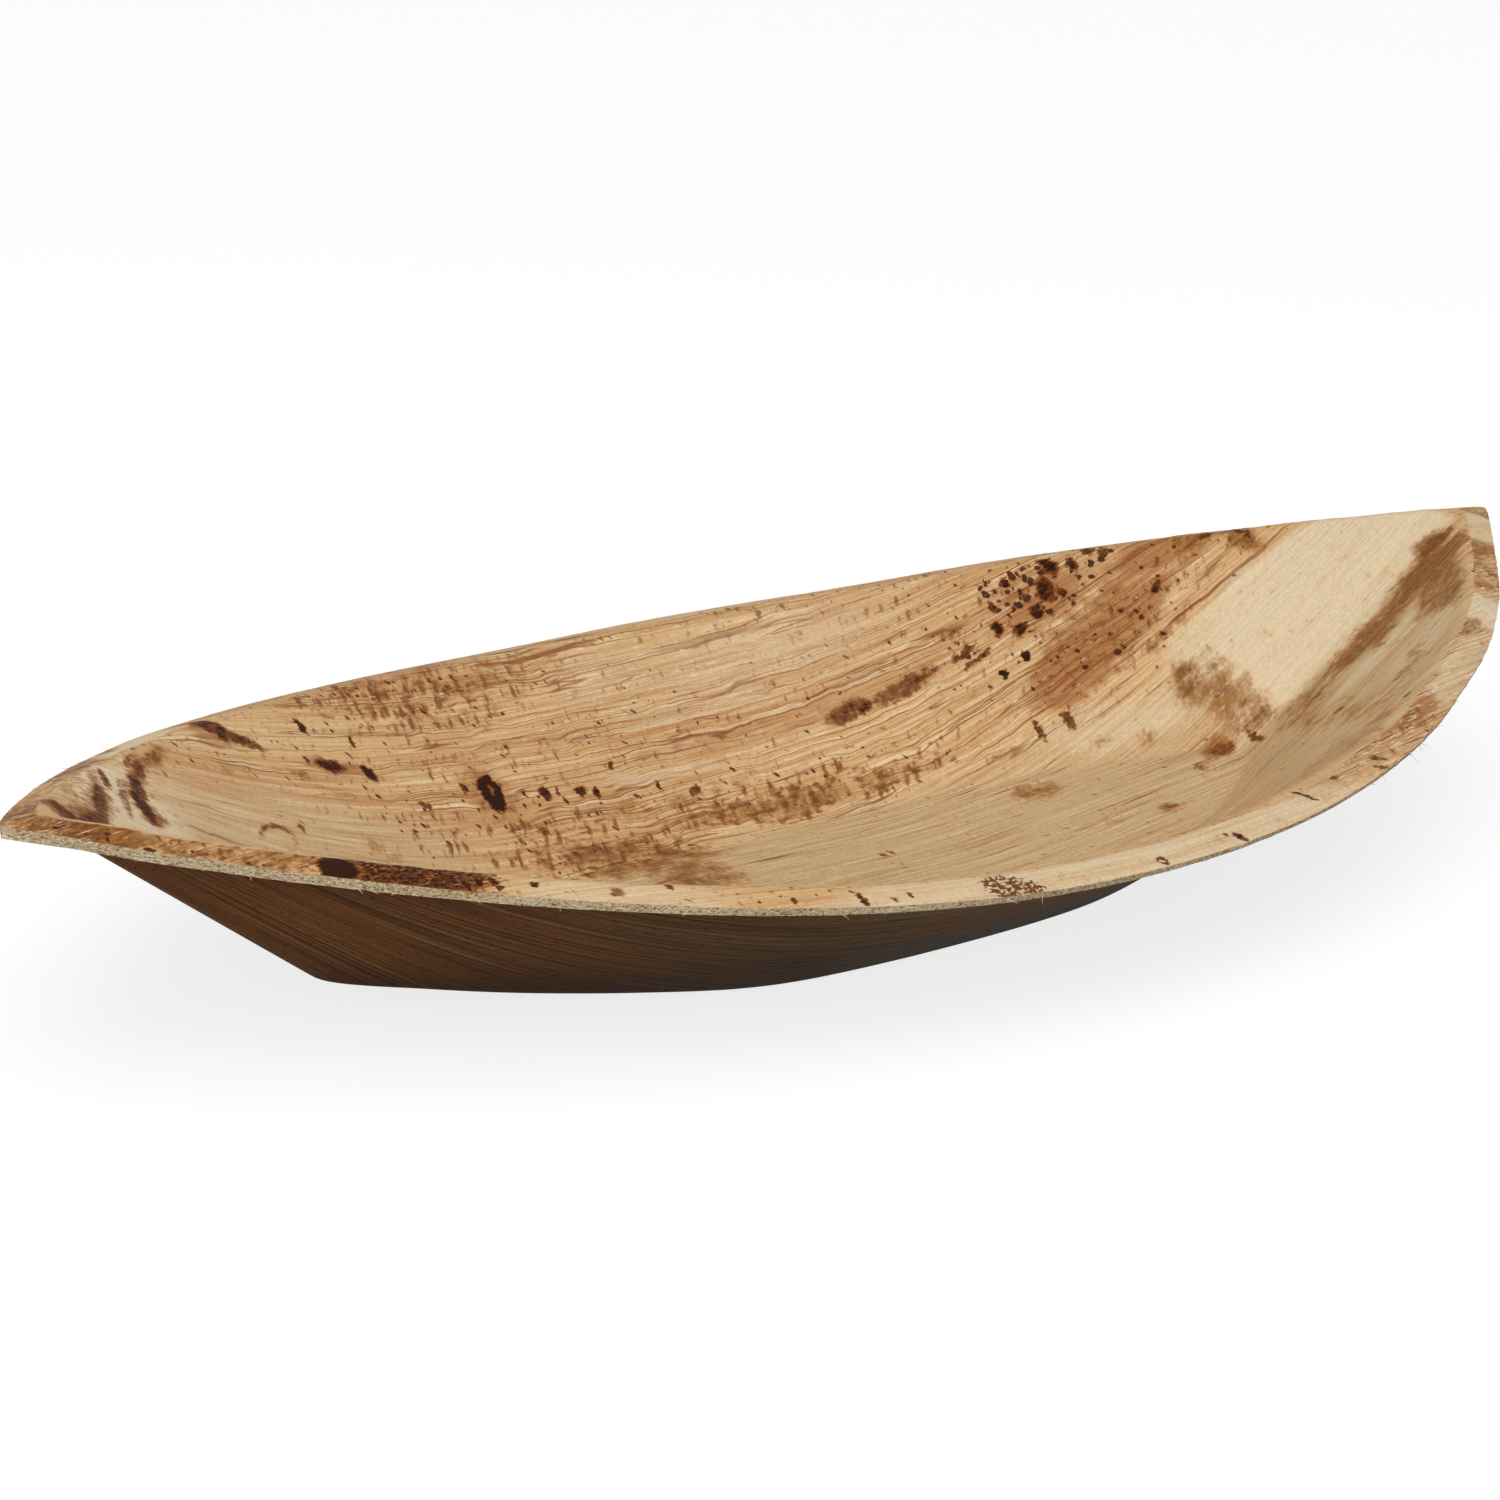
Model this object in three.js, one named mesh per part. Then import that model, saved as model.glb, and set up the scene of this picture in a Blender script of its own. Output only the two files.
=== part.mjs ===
// Palm leaf plate, boat shaped. One fallen palm leaf sheath is soaked, pressed in a heated die and
// trimmed round its edge, so the plate is a single sheet: floor, cove, wall, crest and rim band.
// Millimetres, +Z up. X runs along the fibres from the sheath's thick root end (-X) to its thin end
// (+X). The origin is on the flat underside, below the middle of the plate.
import * as THREE from "three";
import { mergeVertices } from "three/addons/utils/BufferGeometryUtils.js";

// The trimmed edge, seen from above: a pointed oval.
const plateLength = 250;
const plateWidth = 115;
const edgeFullness = 2.2;
const edgeTipRadius = 0.7;

// The rim band that turns outwards and a little down, outside the crest.
const tipBandWidth = 6.6;
const sideBandWidth = 4.8;
const bandDropHeight = 1.7;
const crestFullness = 2.15;
const crestTipRadius = 2.7;

// Height of the trimmed edge: lowest halfway along the sides, highest at the two points.
const sideEdgeHeight = 18.7;
const tipRiseHeight = 13.1;
const edgeRisePower = 1.85;

// The floor, whose outline is where the floor and the walls would meet without their cove.
const floorLength = 157;
const floorWidth = 47.4;
const floorFullness = 2.45;
const floorTipRadius = 2.6;
const flatFloorLength = 43;
const floorBendLength = 16;
const floorRiseHeight = 5.1;
const floorSpineShare = 0.6;

// Bends of the pressed sheet, on its upper side.
const coveRadius = 4;
const crestRadius = 4;
const largestBendShare = 0.45;

// The sheath thins from its root end to its other end.
const rootEndThickness = 1.5;
const thinEndThickness = 0.4;
const thicknessTaperPower = 1.8;

// How finely the sheet is divided: columns along each side, then rows from the floor to the edge.
const columnsPerSide = 56;
const floorRows = 2;
const bendRows = 4;
const wallRows = 4;
const bandRows = 2;

const leafColour = "#cda873";
const leafRoughness = 0.62;

// Pointed ovals: outline of the trimmed edge, of the crest and of the floor.
const edgeOval = {
  halfLength: plateLength / 2,
  halfWidth: plateWidth / 2,
  fullness: edgeFullness,
  tipRadius: edgeTipRadius,
};
const crestOval = {
  halfLength: plateLength / 2 - tipBandWidth,
  halfWidth: plateWidth / 2 - sideBandWidth,
  fullness: crestFullness,
  tipRadius: crestTipRadius,
};
const floorOval = {
  halfLength: floorLength / 2,
  halfWidth: floorWidth / 2,
  fullness: floorFullness,
  tipRadius: floorTipRadius,
};

// Half the width of a pointed oval is halfWidth * (1 - |x / sharpReach|^fullness), which meets in a
// sharp corner at sharpReach. Taking tipRadius off in quadrature turns that corner into a hyperbola
// that ends at halfLength, rounded to about that radius. The station runs from 0 at the -X point to 1
// at the +X point, and equal steps of it lie closer together near the points.
function pointOnOval(oval, station, side) {
  const roundedShare = 1 - oval.tipRadius / oval.halfWidth;
  const sharpReach = oval.halfLength / Math.pow(roundedShare, 1 / oval.fullness);
  const x = -oval.halfLength * Math.cos(Math.PI * station);
  const width = oval.halfWidth * (1 - Math.pow(Math.abs(x / sharpReach), oval.fullness));
  const y = Math.sqrt(Math.max(width * width - oval.tipRadius * oval.tipRadius, 0));
  return new THREE.Vector2(x, side * y);
}

function leafThickness(x) {
  const shareToRoot = THREE.MathUtils.clamp(0.5 - x / plateLength, 0, 1);
  const taper = Math.pow(shareToRoot, thicknessTaperPower);
  return thinEndThickness + (rootEndThickness - thinEndThickness) * taper;
}

function edgeHeight(x) {
  return sideEdgeHeight + tipRiseHeight * Math.pow(Math.abs(x) / (plateLength / 2), edgeRisePower);
}

// The underside of the floor is flat in the middle, bends up along a short arc on both sides of it,
// and then rises in a straight line to the floor's two ends.
function floorUndersideHeight(x) {
  const pastFlat = Math.max(Math.abs(x) - flatFloorLength / 2, 0);
  const slopeLength = (floorLength - flatFloorLength - floorBendLength) / 2;
  const slope = floorRiseHeight / slopeLength;
  if (pastFlat < floorBendLength) {
    return (slope * pastFlat * pastFlat) / (2 * floorBendLength);
  }
  return slope * (pastFlat - floorBendLength / 2);
}

function floorTopPoint(x, y) {
  return new THREE.Vector3(x, y, floorUndersideHeight(x) + leafThickness(x));
}

// A rounded corner between three points, as long on both sides as its radius asks for, and never
// longer than its share of the shorter side.
function bendAt(before, corner, after, radius) {
  const back = before.clone().sub(corner);
  const ahead = after.clone().sub(corner);
  const turn = Math.PI - back.angleTo(ahead);
  const longest = largestBendShare * Math.min(back.length(), ahead.length());
  const reach = Math.min(radius * Math.tan(turn / 2), longest);
  return new THREE.QuadraticBezierCurve3(
    corner.clone().addScaledVector(back.normalize(), reach),
    corner.clone(),
    corner.clone().addScaledVector(ahead.normalize(), reach),
  );
}

// One column of the upper surface: from the floor's spine over the cove, wall and crest to the edge.
function sheetColumn(station, side) {
  const onFloor = pointOnOval(floorOval, station, side);
  const onCrest = pointOnOval(crestOval, station, side);
  const onEdge = pointOnOval(edgeOval, station, side);
  const spineX = onFloor.x * floorSpineShare;
  const spine = floorTopPoint(spineX, 0);
  const foot = floorTopPoint(onFloor.x, onFloor.y);
  const crest = new THREE.Vector3(onCrest.x, onCrest.y, edgeHeight(onCrest.x) + bandDropHeight);
  const edge = new THREE.Vector3(onEdge.x, onEdge.y, edgeHeight(onEdge.x));
  const cove = bendAt(spine, foot, crest, coveRadius);
  const crown = bendAt(foot, crest, edge, crestRadius);
  const stretches = [
    [new THREE.LineCurve3(spine, cove.v0), floorRows],
    [cove, bendRows],
    [new THREE.LineCurve3(cove.v2, crown.v0), wallRows],
    [crown, bendRows],
    [new THREE.LineCurve3(crown.v2, edge), bandRows],
  ];
  const points = [spine];
  for (const [curve, rows] of stretches) {
    points.push(...curve.getPoints(rows).slice(1));
  }
  // The rows inside the floor are lifted to its bend, which a straight line would cut across.
  for (let row = 1; row < floorRows; row += 1) {
    points[row] = floorTopPoint(points[row].x, points[row].y);
  }
  return points;
}

// All columns in one turn round the plate: out along the -Y side and back along the +Y side.
function upperSheet() {
  const columns = [];
  for (let i = 0; i < columnsPerSide; i += 1) {
    columns.push(sheetColumn(i / columnsPerSide, -1));
  }
  for (let i = columnsPerSide; i > 0; i -= 1) {
    columns.push(sheetColumn(i / columnsPerSide, 1));
  }
  return columns;
}

// The upward normal at one point of the upper sheet, from its four neighbours.
function sheetNormal(columns, column, row) {
  const count = columns.length;
  const lastRow = columns[column].length - 1;
  const around = columns[(column + 1) % count][row].clone();
  around.sub(columns[(column + count - 1) % count][row]);
  const outwards = columns[column][Math.min(row + 1, lastRow)].clone();
  outwards.sub(columns[column][Math.max(row - 1, 0)]);
  return outwards.cross(around).normalize();
}

// The lower sheet lies one thickness below the upper one, square to it, so the trimmed edge is square
// to the band. Under the floor it lies straight below, which keeps the rest face flat.
function lowerSheet(columns) {
  const straightUp = new THREE.Vector3(0, 0, 1);
  return columns.map((points, column) =>
    points.map((point, row) => {
      const normal = row <= floorRows ? straightUp : sheetNormal(columns, column, row);
      return point.clone().addScaledVector(normal, -leafThickness(point.x));
    }),
  );
}

// Two triangles for the four-sided face a, b, c, d, which turns anticlockwise seen from outside.
function addFace(corners, a, b, c, d) {
  corners.push(a, b, c, a, c, d);
}

function pressedSheetGeometry() {
  const upper = upperSheet();
  const lower = lowerSheet(upper);
  const corners = [];
  upper.forEach((points, column) => {
    const next = (column + 1) % upper.length;
    for (let row = 1; row < points.length; row += 1) {
      addFace(corners, upper[column][row - 1], upper[column][row], upper[next][row], upper[next][row - 1]);
      addFace(corners, lower[column][row - 1], lower[next][row - 1], lower[next][row], lower[column][row]);
    }
    const last = points.length - 1;
    addFace(corners, upper[column][last], lower[column][last], lower[next][last], upper[next][last]);
  });
  const geometry = mergeVertices(new THREE.BufferGeometry().setFromPoints(corners));
  geometry.computeVertexNormals();
  return geometry;
}

const leaf = new THREE.MeshStandardMaterial({
  color: leafColour,
  roughness: leafRoughness,
  metalness: 0,
});

const pressedLeafPlate = new THREE.Mesh(pressedSheetGeometry(), leaf);
pressedLeafPlate.name = "pressed_leaf_plate";

const plate = new THREE.Group();
plate.add(pressedLeafPlate);

export default plate;
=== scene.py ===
import math
import random

import bmesh
import bpy
from mathutils import Matrix, Vector, noise


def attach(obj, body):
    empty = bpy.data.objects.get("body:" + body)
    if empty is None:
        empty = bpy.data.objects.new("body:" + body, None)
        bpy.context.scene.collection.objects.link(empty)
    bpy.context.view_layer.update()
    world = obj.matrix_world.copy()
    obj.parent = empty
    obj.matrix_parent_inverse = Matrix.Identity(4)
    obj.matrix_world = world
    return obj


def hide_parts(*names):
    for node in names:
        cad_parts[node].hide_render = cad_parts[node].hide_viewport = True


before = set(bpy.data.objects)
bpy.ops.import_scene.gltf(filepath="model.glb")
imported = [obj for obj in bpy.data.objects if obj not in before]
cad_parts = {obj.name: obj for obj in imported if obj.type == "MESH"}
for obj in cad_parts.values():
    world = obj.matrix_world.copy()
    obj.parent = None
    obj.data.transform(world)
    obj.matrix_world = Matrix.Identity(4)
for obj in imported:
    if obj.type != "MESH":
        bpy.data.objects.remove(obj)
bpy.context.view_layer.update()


# The pressed leaf sheet
# One fallen palm leaf sheath, soaked, pressed to a boat shape in a heated die and trimmed round its
# edge. The fibres run lengthways, so the sheet keeps long shallow waves and ridges along them.

METRE_PER_MM = 0.001
UPPER_FACE, LOWER_FACE, CUT_EDGE = 0, 1, 2
SMOOTHING_LEVELS = 2
FACES_UP_ABOVE = 0.3
FACES_DOWN_BELOW = -0.55
HALF_LENGTH = 125.0
HALF_WIDTH = 57.5
POINTS_BEYOND = 0.999 * HALF_LENGTH

leaf_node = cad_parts["pressed_leaf_plate"]
sheet = bmesh.new()
sheet.from_mesh(leaf_node.data)
bmesh.ops.remove_doubles(sheet, verts=sheet.verts, dist=0.002 * METRE_PER_MM)
bmesh.ops.join_triangles(
    sheet,
    faces=sheet.faces,
    angle_face_threshold=math.radians(60),
    angle_shape_threshold=math.radians(180),
)
for face in sheet.faces:
    face.smooth = True
    if face.normal.z > FACES_UP_ABOVE:
        face.material_index = UPPER_FACE
    elif face.normal.z < FACES_DOWN_BELOW:
        face.material_index = LOWER_FACE
    else:
        face.material_index = CUT_EDGE

sharp_edge = sheet.edges.layers.float.new("crease_edge")
sharp_point = sheet.verts.layers.float.new("crease_vert")
for edge in sheet.edges:
    if len({face.material_index for face in edge.link_faces}) > 1:
        edge[sharp_edge] = 1.0
        edge.smooth = False
        for vert in edge.verts:
            if abs(vert.co.x) > POINTS_BEYOND * METRE_PER_MM:
                vert[sharp_point] = 1.0

pressed = bpy.data.meshes.new("pressed_leaf_sheet")
sheet.to_mesh(pressed)
sheet.free()
plate = bpy.data.objects.new("pressed_leaf_sheet", pressed)
bpy.context.scene.collection.objects.link(plate)
rounding = plate.modifiers.new("rounding", "SUBSURF")
rounding.levels = SMOOTHING_LEVELS
rounding.render_levels = SMOOTHING_LEVELS
rounded = plate.evaluated_get(bpy.context.evaluated_depsgraph_get())
plate.data = bpy.data.meshes.new_from_object(rounded)
plate.modifiers.clear()
bpy.data.meshes.remove(pressed)
plate.data.name = "pressed_leaf_sheet"

# The relief: long waves that both faces share, ridges on the upper face, an uneven trimmed edge,
# and the slight warp of this one plate: its rim sags a little on the +Y side and springs outwards
# on the other, both nearer to the thin point. Heights and places are in millimetres.
WAVE_HEIGHT = 0.12
RIDGE_HEIGHT = 0.09
EDGE_UNEVENNESS = 0.12
SAG, SAG_X, SAG_REACH = 0.5, 52, 36
SPRING, SPRING_X, SPRING_Y = 0.75, 96, -26
SPRING_INNER, SPRING_OUTER = 6, 28
DIAGONAL = 0.7
GRAIN_SPREAD = 4e-5


def smooth_step(low, high, value):
    share = min(max((value - low) / (high - low), 0.0), 1.0)
    return share * share * (3 - 2 * share)


def outwards_at(x, y):
    """The level direction that points out of the plate's oval there."""
    return Vector((x / HALF_LENGTH ** 2, y / HALF_WIDTH ** 2, 0.0)).normalized()


def grain_line(x, y):
    """Stays the same along one fibre: the fibres draw together a little towards the two points."""
    return y * (x * x * GRAIN_SPREAD + 1)


relief = bmesh.new()
relief.from_mesh(plate.data)
moves = []
for vert in relief.verts:
    x, y, z = vert.co / METRE_PER_MM
    grain = grain_line(x, y)
    kinds = {face.material_index for face in vert.link_faces}
    wave = noise.noise(Vector((x * 0.022, grain * 0.17, 1.7)))
    ridge = noise.noise(Vector((x * 0.03, grain * 0.62, 5.1)))
    ragged = noise.noise(Vector((x * 0.9, y * 0.9, 9.3)))
    up = wave * WAVE_HEIGHT * smooth_step(0.3, 3.0, z)
    up -= SAG * (1 - smooth_step(0, SAG_REACH, abs(x - SAG_X))) * smooth_step(0, 40, y)
    if kinds == {UPPER_FACE}:
        up += ridge * RIDGE_HEIGHT
    away = math.hypot(x - SPRING_X, y - SPRING_Y)
    spring = SPRING * (1 - smooth_step(SPRING_INNER, SPRING_OUTER, away)) * smooth_step(18, 24, z)
    move = Vector((spring * DIAGONAL, -spring * DIAGONAL, up))
    if CUT_EDGE in kinds:
        move += outwards_at(x, y) * ragged * EDGE_UNEVENNESS
    moves.append((vert, move * METRE_PER_MM))
for vert, move in moves:
    vert.co += move
relief.normal_update()
relief.to_mesh(plate.data)
relief.free()

# Where the leaf is stained, paler, olive, cracked or glossy, and where painted highlights and
# painted
# shade go with them: soft ovals in millimetres, seen from above, as x, y, length, width, turn in
# degrees, softness and strength. The first list of each is for the dish and the second for the rim
# band. The finish breaks them up along the fibres.
MARKS_AND_PAINTED_LIGHT = {
    "pale": (
        [
            (97, 7.5, 38, 14, -2, 0.3, 1.0),
            (94, 1, 32, 6, -4, 0.5, 0.9),
            (112, 3.5, 14, 9, -40, 0.3, 1.0),
            (90, 12.5, 30, 6, -4, 0.4, 0.8),
            (69, 12, 24, 7, -22, 0.5, 0.65),
            (90, -12.5, 20, 6, 5, 0.5, 0.55),
            (88, -21, 24, 8, 22, 0.5, 0.5),
            (57, -33, 14, 7, 40, 0.5, 0.3),
            (-74, 23, 26, 9, 8, 0.5, 0.4),
            (-95, 14, 26, 14, 45, 0.5, 0.9),
            (-85, 22, 20, 10, 30, 0.5, 0.5),
            (-60, 29, 44, 8, 6, 0.6, 0.3),
            (20, 45, 90, 14, -6, 0.7, 0.4),
            (30, 38, 60, 4, -6, 0.5, 0.3),
            (5, 33, 30, 2.5, -3, 0.5, 0.5),
        ],
        [
            (95.5, -25, 11, 6, 38, 0.3, 1.0),
            (118, -5, 14, 8, 50, 0.4, 0.7),
            (78, -34, 34, 9, 28, 0.5, 0.55),
            (100, 19, 60, 10, -40, 0.5, 0.5),
            (-79, 34, 26, 9, 35, 0.5, 0.8),
            (-10, -53.5, 130, 12, 0, 0.5, 0.6),
            (-70, -40, 30, 10, -26, 0.5, 0.5),
            (20, 55, 120, 10, -4, 0.5, 0.5),
        ],
    ),
    "olive": (
        [
            (15, 0, 150, 44, 0, 0.15, 0.9),
            (75, -24, 80, 26, 35, 0.5, 0.9),
            (92, -15, 32, 18, 40, 0.4, 1.0),
            (-60, 22, 60, 14, 8, 0.5, 0.8),
            (-100, 0, 40, 30, 0, 0.5, 0.7),
        ],
        [(-96, 25, 44, 10, 42, 0.5, 0.6)],
    ),
    "tawny": (
        [
            (73, 21.3, 27, 8, 2, 0.3, 0.95),
            (88, 24, 18, 6, -15, 0.5, 0.8),
            (71, 30.5, 16, 8, -5, 0.5, 0.7),
            (50, -38, 30, 10, 25, 0.5, 0.5),
            (-45, 36.8, 14, 1.8, 0, 0.4, 0.9),
            (-22, 34.1, 9, 7, 0, 0.6, 0.6),
            (-22, 49, 44, 10, 5, 0.7, 0.4),
            (20, 35, 60, 5, -5, 0.8, 0.4),
            (-65, 39, 5, 8, 0, 0.5, 0.7),
        ],
        [
            (62, -41.8, 15, 5, 20, 0.5, 0.8),
            (42, -48.5, 34, 6, 16, 0.5, 0.4),
            (87, -29, 16, 6, 32, 0.5, 0.3),
            (105, -16, 16, 8, 45, 0.4, 0.15),
            (-90, -28.5, 17, 9, -32, 0.4, 0.9),
            (-109, -14, 30, 9, -40, 0.5, 0.3),
            (-118, -2, 14, 16, 0, 0.6, 0.3),
        ],
    ),
    "brown": (
        [
            (-7, 21, 23, 8, -4, 0.5, 0.75),
            (-6, 14, 12, 13, 0, 0.5, 0.75),
            (-12, 24.5, 22, 5, -3, 0.5, 0.55),
            (17, 25.5, 34, 3.6, -3, 0.5, 0.7),
            (37, 23.3, 18, 3, -12, 0.5, 0.4),
            (95, -5.5, 11, 7, 10, 0.6, 0.95),
            (103, -6, 17, 6, -8, 0.5, 0.9),
            # These three are a brown stain under the crest at the thin point, darkened further as
            # painted shade.
            (113, -1.5, 5, 5, 0, 0.4, 1.3),
            (109, -5, 12, 6, -20, 0.4, 1.1),
            (106.5, -9, 12, 5, 45, 0.5, 0.8),
            (86, -4, 9, 7, 0, 0.6, 0.6),
            (83, -8.5, 9, 4, 40, 0.6, 0.4),
            (82, 6, 7, 10, 0, 0.6, 0.85),
            (79.5, 10, 5, 6, 0, 0.6, 0.8),
            (83.5, 2, 5, 5, 0, 0.6, 0.8),
            (77, 2, 6, 4, 0, 0.4, 0.9),
            (71, 0, 3, 4, -20, 0.4, 0.7),
            (66, 12, 4, 2, -25, 0.5, 0.5),
            (70, 9, 4, 2, -25, 0.5, 0.5),
            (51, 10, 8, 6, 0, 0.5, 0.6),
            (56.6, -7.8, 4, 3.2, 0, 0.5, 0.8),
            (48.7, -5, 4, 3, 0, 0.6, 0.4),
            (72, -24, 24, 5, 55, 0.6, 0.5),
            (78, -12, 14, 5, 60, 0.6, 0.45),
            (82, -7, 12, 6, 50, 0.5, 0.5),
            (101, -13, 17, 5.5, 48, 0.5, 0.85),
            (97, -7, 16, 5, 35, 0.5, 0.8),
            (80, -26, 22, 3, 34, 0.5, 0.5),
            (57, -39.5, 22, 4, 25, 0.5, 0.5),
            (-22, 48, 44, 9, 5, 0.7, 0.4),
            (5, 29.5, 30, 3, 0, 0.6, 0.5),
            (97.5, 18.6, 4, 6, 0, 0.5, 0.9),
            (92, 22.5, 12, 2.4, -15, 0.5, 0.8),
            (81, 16.7, 11, 1.4, 0, 0.5, 0.7),
            (76, 20.5, 16, 3, 3, 0.6, 0.6),
            (-96, 23.5, 11, 4, 47, 0.5, 0.95),
            (-88.5, 28, 10, 3, 38, 0.5, 0.7),
            (-104, 14.5, 12, 3, 45, 0.5, 0.5),
            (-81, 28, 13, 2.4, 35, 0.5, 0.85),
            (-88, 22.5, 8, 2.4, 55, 0.5, 0.9),
            (-91, 17, 5.5, 3, 75, 0.5, 1.25),
            (-86.3, 18.5, 8, 1.4, 75, 0.6, 0.5),
            (-100, 14, 13, 2.4, 52, 0.5, 1.0),
            (-95, 20, 6, 1.8, 60, 0.5, 0.6),
            (-107, 7, 14, 3.4, 35, 0.5, 1.05),
            (-112.5, 4, 6, 6, 0, 0.5, 1.2),
            (-66, 32.3, 6, 2.5, 20, 0.6, 0.6),
            (-54, 35, 8, 1.6, 0, 0.6, 0.6),
            (-47, 25, 5, 3, 0, 0.6, 0.6),
            (-65.3, 41, 3, 6, -8, 0.5, 0.8),
        ],
        [
            (104.5, -16, 16, 8, 45, 0.4, 0.5),
            (112, -10.5, 6, 6, 50, 0.4, 0.75),
            (122, -1, 5, 6, 0, 0.5, 0.6),
            (62, -41.3, 13, 2.5, 18, 0.5, 0.5),
            (88, -27.5, 11, 1.8, 12, 0.5, 0.8),
            (84, 29, 26, 8, -30, 0.5, 0.6),
            (98, 20.5, 7, 6, -40, 0.5, 0.7),
            (-95.5, 27, 16, 8, 50, 0.5, 1.4),
            (-101, 21, 12, 4, 45, 0.5, 0.6),
            (-84, 33.5, 7, 4, 45, 0.5, 0.6),
            (-113, 10, 14, 5, 45, 0.5, 0.5),
            (-116.5, -7, 9, 5, -42, 0.5, 1.3),
            (-99, -19.5, 4, 3, -40, 0.5, 0.6),
            (-107, -14, 28, 8, -40, 0.5, 0.55),
            (-118, 0, 18, 16, 0, 0.6, 0.8),
            (-119, 3, 12, 6, 40, 0.6, 0.7),
            (-90, -26.5, 15, 5, -32, 0.4, 0.9),
            (-26, 53.5, 50, 5, 3, 0.5, 0.5),
        ],
    ),
    "smudged": (
        [
            (-7, 21, 25, 9, -4, 0.4, 0.95),
            (-14, 25.5, 22, 5, -3, 0.5, 0.9),
            (-28, 47.5, 38, 7, 5, 0.5, 0.7),
            (-6, 14, 14, 14, 0, 0.4, 0.95),
            (17, 25.5, 32, 4.4, -3, 0.4, 1.0),
            (37, 23.3, 20, 5, -12, 0.5, 0.8),
            (50, 10, 14, 8, 0, 0.5, 0.8),
            (62, 8, 14, 7, 0, 0.5, 0.6),
            (79.5, 5, 8, 13, 0, 0.5, 0.3),
            (96, -5, 34, 9, -5, 0.4, 0.6),
            (89, -9, 20, 8, 20, 0.6, 0.4),
            (-98, 14, 34, 12, 45, 0.5, 1.1),
            (73, 21, 26, 8, 2, 0.4, 0.5),
        ],
        [
            (-117, -6, 10, 8, -40, 0.5, 1.3),
            (-119, 2, 14, 16, 0, 0.5, 1.2),
            (-105, -16, 26, 7, -40, 0.5, 0.8),
            (-90, -28, 17, 8, -32, 0.5, 0.8),
            (106, -15, 18, 10, 42, 0.5, 0.5),
            (-96, 24, 40, 8, 45, 0.5, 1.35),
        ],
    ),
    "flecked": (
        [
            (-25, 48, 42, 10, 5, 0.5, 1.35),
            (-28, 28, 46, 9, 0, 0.5, 1.2),
            (-12, 24, 24, 8, 0, 0.5, 1.2),
            (-10, 38, 60, 5, 0, 0.6, 0.5),
            (10, 44, 80, 16, -5, 0.6, 0.35),
            (36, 50, 34, 6, -14, 0.5, 1.1),
            (36, 24, 26, 6, -12, 0.5, 1.1),
            (17, 26, 34, 6, -3, 0.5, 0.9),
            (70, 30.5, 24, 9, -10, 0.5, 0.6),
            (50, 42, 30, 10, -15, 0.5, 0.5),
            (85, 21, 24, 8, 0, 0.6, 0.6),
            (61.5, 17, 7, 3, 0, 0.4, 1.1),
            (98, 19, 8, 5, 40, 0.5, 0.8),
            (-84, 27, 22, 6, 40, 0.5, 0.9),
            (-100, 12, 30, 10, 45, 0.5, 0.8),
        ],
        [
            (-118, 0, 16, 18, 0, 0.5, 0.8),
            (50, -47, 60, 8, 18, 0.5, 0.6),
            (-27, -55, 70, 8, 0, 0.5, 0.5),
            (-80, -35, 24, 8, -28, 0.5, 0.6),
            (-104, -16, 30, 8, -40, 0.5, 0.7),
            (90, -28, 30, 8, 32, 0.5, 0.3),
            (-20, 54, 60, 6, 3, 0.5, 0.8),
        ],
    ),
    "pitted": (
        [
            (71.5, 31.5, 14, 8, -5, 0.4, 1.0),
            (66, 30, 8, 5, 0, 0.5, 0.8),
            (74, 28.5, 10, 3, 0, 0.5, 0.9),
            (80, 29.5, 8, 4, -20, 0.5, 0.8),
            (68, 35, 10, 3, -20, 0.5, 0.8),
            (60, 30.5, 12, 3, 0, 0.6, 0.5),
            (76, 21, 24, 7, 0, 0.6, 0.3),
            (-14, 33.2, 14, 2, 0, 0.5, 0.4),
            (-27, 30, 34, 8, 0, 0.5, 0.25),
            (-27, 49, 40, 8, 4, 0.5, 0.25),
        ],
        [
            (-90, -29, 15, 6, -32, 0.4, 1.25),
            (-84, -32, 9, 3, -30, 0.5, 0.9),
            (-118, -6, 6, 6, 0, 0.5, 0.8),
            (-107, -17, 34, 3, -40, 0.5, 0.5),
        ],
    ),
    "cracked": (
        [
            (20, 38, 140, 32, -6, 0.3, 1.0),
            (60, 28, 60, 20, -10, 0.5, 0.8),
            (-60, 36, 40, 8, 5, 0.5, 0.3),
        ],
        [
            (60, -43, 70, 9, 25, 0.5, 1.0),
            (88, -28, 34, 9, 32, 0.5, 1.0),
            (20, 54, 120, 9, -4, 0.5, 0.8),
        ],
    ),
    # Glossy places, which also get whitish painted highlights.
    "glossy_with_painted_glints": (
        [
            (62, 20, 20, 16, 0, 0.6, 0.3),
            (10, 45, 80, 14, -5, 0.6, 0.35),
            (20, 5, 90, 30, 0, 0.6, 0.2),
            (-96, 19, 36, 8, 42, 0.6, 0.8),
        ],
        [
            (-114, 2, 24, 20, 0, 0.5, 0.7),
            (-96, 24, 34, 10, 45, 0.5, 0.9),
            (60, -42, 50, 9, 25, 0.5, 0.8),
            (84, -30, 30, 9, 32, 0.5, 0.6),
            (98, -24, 16, 8, 40, 0.5, 0.6),
        ],
    ),
}


def strength_of(ovals, x, y):
    """The strongest of the soft ovals at that point."""
    strongest = 0.0
    for centre_x, centre_y, length, width, turn, softness, strength in ovals:
        dx, dy = x - centre_x, y - centre_y
        widest = max(length, width) * (1 + softness) / 2
        if abs(dx) > widest or abs(dy) > widest:
            continue
        cosine, sine = math.cos(math.radians(turn)), math.sin(math.radians(turn))
        along = (dx * cosine + dy * sine) * 2 / length
        across = (dy * cosine - dx * sine) * 2 / width
        reach = math.hypot(along, across)
        here = strength * (1 - smooth_step(1 - softness, 1 + softness, reach))
        strongest = max(strongest, here)
    return strongest


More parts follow.
